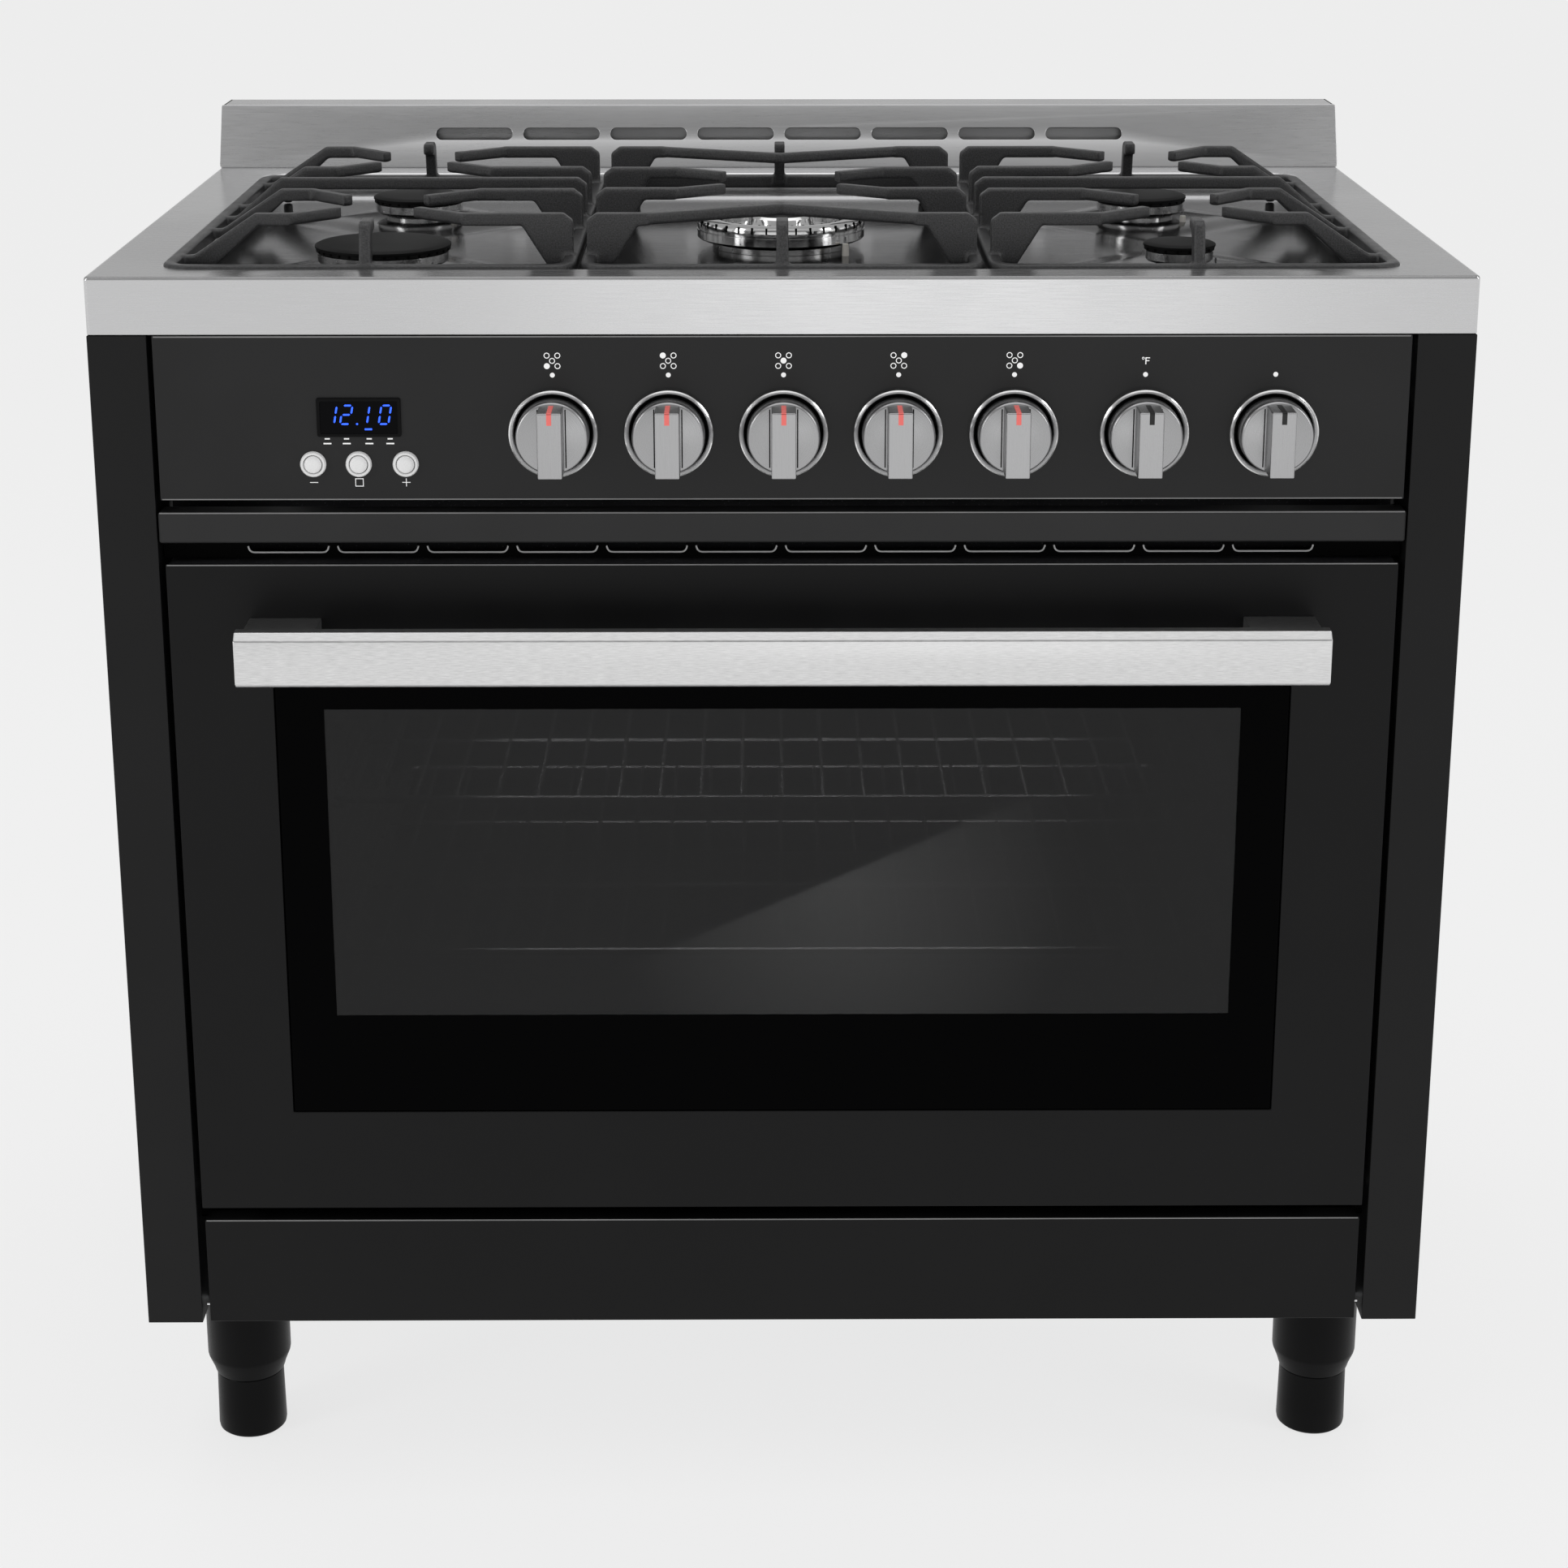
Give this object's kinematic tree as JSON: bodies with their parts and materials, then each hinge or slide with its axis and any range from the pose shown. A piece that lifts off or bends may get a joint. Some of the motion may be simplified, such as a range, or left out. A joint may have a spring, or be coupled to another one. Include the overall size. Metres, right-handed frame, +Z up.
{
  "type": "gas range",
  "caption": "Freestanding gas range with open burners under cast-iron grates, a drop-down oven door with a window and bar handle, a storage door and levelling legs.",
  "frame": {"origin": "on the floor, under the middle of the range's overall width and depth", "axes": "+Z up, +X to the right seen from the front, +Y towards the back"},
  "size_m": [0.91, 0.66, 0.9475],
  "materials": {
    "side_sheet": "black satin paint",
    "galvanised_sheet": "galvanised steel",
    "cooktop_steel": "brushed stainless steel",
    "control_panel_paint": "charcoal satin paint",
    "display_glass": "glossy black",
    "black_paint": "black satin paint",
    "manifold_alloy": "cast alloy",
    "brass_fitting": "machined brass",
    "black_plastic": "moulded black",
    "oven_enamel": "vitreous enamel",
    "seal_rubber": "soft silicone",
    "chrome_wire": "bright wire",
    "burner_steel": "heat-dulled steel",
    "lamp_glass": "clear",
    "hinge_steel": "zinc plated",
    "dark_glass": "dark tinted glass",
    "inner_glass": "clear glass",
    "liner_enamel": "vitreous enamel",
    "handle_steel": "horizontally brushed",
    "burner_alloy": "machined",
    "burner_enamel": "matt black enamel",
    "crown_metal": "polished",
    "cast_iron": "textured black",
    "knob_metal": "satin metal",
    "button_plastic": "white",
    "leg_plastic": "moulded black"
  },
  "bodies": {
    "cabinet": {"side_panel_left": "side_sheet", "side_panel_right": "side_sheet", "back_panel": "galvanised_sheet", "base_panel": "galvanised_sheet", "cooktop": "cooktop_steel", "backguard": "cooktop_steel", "control_panel": "control_panel_paint", "display": "display_glass", "trim_bar": "control_panel_paint", "vent_grille": "black_paint", "gas_manifold": "manifold_alloy", "gas_inlet": "brass_fitting", "power_inlet": "black_plastic", "oven_cavity": "oven_enamel", "door_gasket": "seal_rubber", "rack_support_left": "chrome_wire", "rack_support_right": "chrome_wire", "oven_rack_upper": "chrome_wire", "oven_rack_lower": "chrome_wire", "broil_burner": "burner_steel", "oven_lamp": "lamp_glass", "door_hinge_left": "hinge_steel", "door_hinge_right": "hinge_steel", "burner_base_front_left": "burner_alloy", "burner_cap_front_left": "burner_enamel", "burner_base_rear_left": "burner_alloy", "burner_cap_rear_left": "burner_enamel", "burner_base_centre": "burner_alloy", "burner_cap_centre": "crown_metal", "burner_base_rear_right": "burner_alloy", "burner_cap_rear_right": "burner_enamel", "burner_base_front_right": "burner_alloy", "burner_cap_front_right": "burner_enamel", "leg_sleeve_front_left": "leg_plastic", "leg_sleeve_front_right": "leg_plastic", "leg_sleeve_rear_left": "leg_plastic", "leg_sleeve_rear_right": "leg_plastic"},
    "door": {"door_panel": "black_paint", "door_liner": "liner_enamel", "door_glass": "dark_glass", "door_inner_glass": "inner_glass", "door_handle": "handle_steel"},
    "storage_door": {"storage_door": "black_paint"},
    "knob_front_left": {"knob_front_left": "knob_metal"},
    "knob_rear_left": {"knob_rear_left": "knob_metal"},
    "knob_centre": {"knob_centre": "knob_metal"},
    "knob_rear_right": {"knob_rear_right": "knob_metal"},
    "knob_front_right": {"knob_front_right": "knob_metal"},
    "knob_oven_temperature": {"knob_oven_temperature": "knob_metal"},
    "knob_oven_function": {"knob_oven_function": "knob_metal"},
    "timer_button_1": {"timer_button_1": "button_plastic"},
    "timer_button_2": {"timer_button_2": "button_plastic"},
    "timer_button_3": {"timer_button_3": "button_plastic"},
    "grate_left": {"grate_left": "cast_iron"},
    "grate_centre": {"grate_centre": "cast_iron"},
    "grate_right": {"grate_right": "cast_iron"},
    "foot_front_left": {"foot_front_left": "leg_plastic"},
    "foot_front_right": {"foot_front_right": "leg_plastic"},
    "foot_rear_left": {"foot_rear_left": "leg_plastic"},
    "foot_rear_right": {"foot_rear_right": "leg_plastic"}
  },
  "joints": [
    {"name": "oven_door_hinge", "type": "hinge", "parent": "cabinet", "child": "door", "pos_m": [0, -0.253, 0.2592], "axis": [1, 0, 0], "range_deg": [0, 90]},
    {"name": "storage_door_hinge", "type": "hinge", "parent": "cabinet", "child": "storage_door", "pos_m": [0, -0.264, 0.156], "axis": [1, 0, 0], "range_deg": [0, 90]},
    {"name": "knob_front_left_turn", "type": "hinge", "parent": "cabinet", "child": "knob_front_left", "pos_m": [-0.151, -0.27, 0.797], "axis": [0, -1, 0], "range_deg": [0, 210]},
    {"name": "knob_rear_left_turn", "type": "hinge", "parent": "cabinet", "child": "knob_rear_left", "pos_m": [-0.075, -0.27, 0.797], "axis": [0, -1, 0], "range_deg": [0, 210]},
    {"name": "knob_centre_turn", "type": "hinge", "parent": "cabinet", "child": "knob_centre", "pos_m": [0.0005, -0.27, 0.797], "axis": [0, -1, 0], "range_deg": [0, 210]},
    {"name": "knob_rear_right_turn", "type": "hinge", "parent": "cabinet", "child": "knob_rear_right", "pos_m": [0.076, -0.27, 0.797], "axis": [0, -1, 0], "range_deg": [0, 210]},
    {"name": "knob_front_right_turn", "type": "hinge", "parent": "cabinet", "child": "knob_front_right", "pos_m": [0.152, -0.27, 0.797], "axis": [0, -1, 0], "range_deg": [0, 210]},
    {"name": "knob_oven_temperature_turn", "type": "hinge", "parent": "cabinet", "child": "knob_oven_temperature", "pos_m": [0.238, -0.27, 0.797], "axis": [0, 1, 0], "range_deg": [0, 270]},
    {"name": "knob_oven_function_turn", "type": "hinge", "parent": "cabinet", "child": "knob_oven_function", "pos_m": [0.3235, -0.27, 0.797], "axis": [0, 1, 0], "range_deg": [0, 270]},
    {"name": "timer_button_1_press", "type": "slide", "parent": "cabinet", "child": "timer_button_1", "axis": [0, 1, 0], "range_m": [0, 0.002], "stiffness_N_per_m": 300, "springref_m": -0.001},
    {"name": "timer_button_2_press", "type": "slide", "parent": "cabinet", "child": "timer_button_2", "axis": [0, 1, 0], "range_m": [0, 0.002], "stiffness_N_per_m": 300, "springref_m": -0.001},
    {"name": "timer_button_3_press", "type": "slide", "parent": "cabinet", "child": "timer_button_3", "axis": [0, 1, 0], "range_m": [0, 0.002], "stiffness_N_per_m": 300, "springref_m": -0.001},
    {"name": "grate_left_lift", "type": "slide", "parent": "cabinet", "child": "grate_left", "axis": [0, 0, 1], "range_m": [0, 0.1]},
    {"name": "grate_centre_lift", "type": "slide", "parent": "cabinet", "child": "grate_centre", "axis": [0, 0, 1], "range_m": [0, 0.1]},
    {"name": "grate_right_lift", "type": "slide", "parent": "cabinet", "child": "grate_right", "axis": [0, 0, 1], "range_m": [0, 0.1]},
    {"name": "foot_front_left_level", "type": "slide", "parent": "cabinet", "child": "foot_front_left", "axis": [0, 0, -1], "range_m": [0, 0.025]},
    {"name": "foot_front_right_level", "type": "slide", "parent": "cabinet", "child": "foot_front_right", "axis": [0, 0, -1], "range_m": [0, 0.025]},
    {"name": "foot_rear_left_level", "type": "slide", "parent": "cabinet", "child": "foot_rear_left", "axis": [0, 0, -1], "range_m": [0, 0.025]},
    {"name": "foot_rear_right_level", "type": "slide", "parent": "cabinet", "child": "foot_rear_right", "axis": [0, 0, -1], "range_m": [0, 0.025]}
  ]
}
